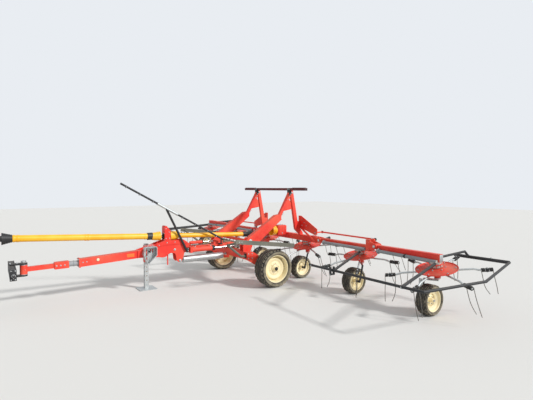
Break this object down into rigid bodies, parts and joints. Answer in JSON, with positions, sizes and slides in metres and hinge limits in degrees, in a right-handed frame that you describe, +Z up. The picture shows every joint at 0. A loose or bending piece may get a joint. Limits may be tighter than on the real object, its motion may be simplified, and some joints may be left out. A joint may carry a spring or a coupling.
{
  "type": "trailed hay tedder",
  "caption": "Wide trailed hay tedder with folding wings, tined rotors on small ground wheels, a lift frame on a transport axle and a long drawbar.",
  "frame": {"origin": "on the ground under the drawbar's centreline, on the parking foot's bottom face", "axes": "+X to the machine's left, -Y forward to the tractor, +Z up"},
  "size_m": [7.8729, 5.4174, 1.6811],
  "materials": {
    "red_paint": "gloss paint, sun-faded and dusty",
    "dark_paint": "satin black paint",
    "drive_grey": "grey paint",
    "galvanised": "hot-dip galvanised",
    "rod_chrome": "polished",
    "guard_yellow": "moulded, weathered",
    "rim_cream": "gloss paint",
    "tyre": "worn, dusty"
  },
  "bodies": {
    "chassis": {"drawbar_front": "red_paint", "drawbar_neck": "red_paint", "axle_frame": "red_paint", "wheel_guards": "dark_paint", "pto_bearing": "red_paint", "pto_cone": "guard_yellow", "pto_front": "guard_yellow", "hose_boom": "dark_paint", "wheel_chock": "galvanised", "tilt_cylinder": "red_paint", "lift_barrel": "red_paint", "stay_tube": "galvanised", "stand_sleeve": "red_paint"},
    "lift_rod": {"lift_rod": "rod_chrome"},
    "pto_mid": {"pto_mid": "guard_yellow"},
    "stand_leg": {"stand_leg": "galvanised"},
    "hitch_yoke": {"hitch_yoke": "dark_paint"},
    "transport_wheel_left": {"transport_tyre_left": "tyre", "transport_rim_left": "rim_cream"},
    "transport_wheel_right": {"transport_tyre_right": "tyre", "transport_rim_right": "rim_cream"},
    "lift_frame": {"lift_arms": "red_paint", "lift_towers": "red_paint", "wing_rest": "dark_paint", "centre_beam": "red_paint", "centre_drive": "red_paint"},
    "inner_wing_left": {"inner_beam_left": "red_paint", "inner_drive_left": "drive_grey"},
    "inner_wing_right": {"inner_beam_right": "red_paint", "inner_drive_right": "drive_grey"},
    "outer_wing_left": {"outer_beam_left": "red_paint", "outer_drive_left": "drive_grey", "outer_guard_left": "dark_paint"},
    "outer_wing_right": {"outer_beam_right": "red_paint", "outer_drive_right": "drive_grey", "outer_guard_right": "dark_paint"},
    "rotor_1": {"rotor_1": "red_paint", "tines_1": "galvanised"},
    "ground_wheel_1": {"ground_tyre_1": "tyre", "ground_rim_1": "rim_cream"},
    "rotor_2": {"rotor_2": "red_paint", "tines_2": "galvanised"},
    "ground_wheel_2": {"ground_tyre_2": "tyre", "ground_rim_2": "rim_cream"},
    "rotor_3": {"rotor_3": "red_paint", "tines_3": "galvanised"},
    "ground_wheel_3": {"ground_tyre_3": "tyre", "ground_rim_3": "rim_cream"},
    "rotor_4": {"rotor_4": "red_paint", "tines_4": "galvanised"},
    "ground_wheel_4": {"ground_tyre_4": "tyre", "ground_rim_4": "rim_cream"},
    "rotor_5": {"rotor_5": "red_paint", "tines_5": "galvanised"},
    "ground_wheel_5": {"ground_tyre_5": "tyre", "ground_rim_5": "rim_cream"},
    "rotor_6": {"rotor_6": "red_paint", "tines_6": "galvanised"},
    "ground_wheel_6": {"ground_tyre_6": "tyre", "ground_rim_6": "rim_cream"}
  },
  "joints": [
    {"name": "lift", "type": "hinge", "parent": "chassis", "child": "lift_frame", "pos_m": [0, 1.51, 0.72], "axis": [1, 0, 0], "range_deg": [0, 24]},
    {"name": "lift_rod_slide", "type": "slide", "parent": "chassis", "child": "lift_rod", "axis": [0, 1, 0], "range_m": [0, 0.045]},
    {"name": "pto_swing", "type": "hinge", "parent": "chassis", "child": "pto_mid", "pos_m": [0, 0.4, 0.832], "axis": [1, 0, 0], "range_deg": [0, 11]},
    {"name": "stand_slide", "type": "slide", "parent": "chassis", "child": "stand_leg", "axis": [0, 0, 1], "range_m": [0, 0.4]},
    {"name": "hitch_turn", "type": "hinge", "parent": "chassis", "child": "hitch_yoke", "pos_m": [0, -1.67, 0.52], "axis": [0, 0, 1], "range_deg": [-60, 60]},
    {"name": "inner_fold_left", "type": "hinge", "parent": "lift_frame", "child": "inner_wing_left", "pos_m": [1.02, 2.68, 0.7], "axis": [0, -1, 0], "range_deg": [0, 90]},
    {"name": "outer_tilt_left", "type": "hinge", "parent": "inner_wing_left", "child": "outer_wing_left", "pos_m": [2.23, 2.68, 0.74], "axis": [0, -1, 0], "range_deg": [-6, 10]},
    {"name": "transport_wheel_left_roll", "type": "hinge", "parent": "chassis", "child": "transport_wheel_left", "pos_m": [0.89, 1.755, 0.3], "axis": [1, 0, 0], "continuous": true},
    {"name": "inner_fold_right", "type": "hinge", "parent": "lift_frame", "child": "inner_wing_right", "pos_m": [-1.02, 2.68, 0.7], "axis": [0, 1, 0], "range_deg": [0, 90]},
    {"name": "outer_tilt_right", "type": "hinge", "parent": "inner_wing_right", "child": "outer_wing_right", "pos_m": [-2.23, 2.68, 0.74], "axis": [0, 1, 0], "range_deg": [-6, 10]},
    {"name": "transport_wheel_right_roll", "type": "hinge", "parent": "chassis", "child": "transport_wheel_right", "pos_m": [-0.89, 1.755, 0.3], "axis": [1, 0, 0], "continuous": true},
    {"name": "rotor_1_turn", "type": "hinge", "parent": "outer_wing_right", "child": "rotor_1", "pos_m": [-3.2, 2.68, 0.545], "axis": [0, -0.2079, 0.9781], "continuous": true},
    {"name": "ground_wheel_1_roll", "type": "hinge", "parent": "outer_wing_right", "child": "ground_wheel_1", "pos_m": [-3.2, 2.53, 0.195], "axis": [1, 0, 0], "continuous": true},
    {"name": "rotor_2_turn", "type": "hinge", "parent": "inner_wing_right", "child": "rotor_2", "pos_m": [-1.92, 2.68, 0.545], "axis": [0, -0.2079, 0.9781], "continuous": true},
    {"name": "ground_wheel_2_roll", "type": "hinge", "parent": "inner_wing_right", "child": "ground_wheel_2", "pos_m": [-1.92, 2.53, 0.195], "axis": [1, 0, 0], "continuous": true},
    {"name": "rotor_3_turn", "type": "hinge", "parent": "lift_frame", "child": "rotor_3", "pos_m": [-0.64, 2.68, 0.545], "axis": [0, -0.2079, 0.9781], "continuous": true},
    {"name": "ground_wheel_3_roll", "type": "hinge", "parent": "lift_frame", "child": "ground_wheel_3", "pos_m": [-0.64, 2.53, 0.195], "axis": [1, 0, 0], "continuous": true},
    {"name": "rotor_4_turn", "type": "hinge", "parent": "lift_frame", "child": "rotor_4", "pos_m": [0.64, 2.68, 0.545], "axis": [0, -0.2079, 0.9781], "continuous": true},
    {"name": "ground_wheel_4_roll", "type": "hinge", "parent": "lift_frame", "child": "ground_wheel_4", "pos_m": [0.64, 2.53, 0.195], "axis": [1, 0, 0], "continuous": true},
    {"name": "rotor_5_turn", "type": "hinge", "parent": "inner_wing_left", "child": "rotor_5", "pos_m": [1.92, 2.68, 0.545], "axis": [0, -0.2079, 0.9781], "continuous": true},
    {"name": "ground_wheel_5_roll", "type": "hinge", "parent": "inner_wing_left", "child": "ground_wheel_5", "pos_m": [1.92, 2.53, 0.195], "axis": [1, 0, 0], "continuous": true},
    {"name": "rotor_6_turn", "type": "hinge", "parent": "outer_wing_left", "child": "rotor_6", "pos_m": [3.2, 2.68, 0.545], "axis": [0, -0.2079, 0.9781], "continuous": true},
    {"name": "ground_wheel_6_roll", "type": "hinge", "parent": "outer_wing_left", "child": "ground_wheel_6", "pos_m": [3.2, 2.53, 0.195], "axis": [1, 0, 0], "continuous": true}
  ],
  "couplings": [
    {"joint": "lift_rod_slide", "follows": "lift", "m_per_rad": 0.102},
    {"joint": "pto_swing", "follows": "lift", "ratio": 0.425},
    {"joint": "rotor_2_turn", "follows": "rotor_1_turn", "ratio": -1},
    {"joint": "rotor_3_turn", "follows": "rotor_1_turn", "ratio": 1},
    {"joint": "rotor_4_turn", "follows": "rotor_1_turn", "ratio": -1},
    {"joint": "rotor_5_turn", "follows": "rotor_1_turn", "ratio": 1},
    {"joint": "rotor_6_turn", "follows": "rotor_1_turn", "ratio": -1}
  ]
}
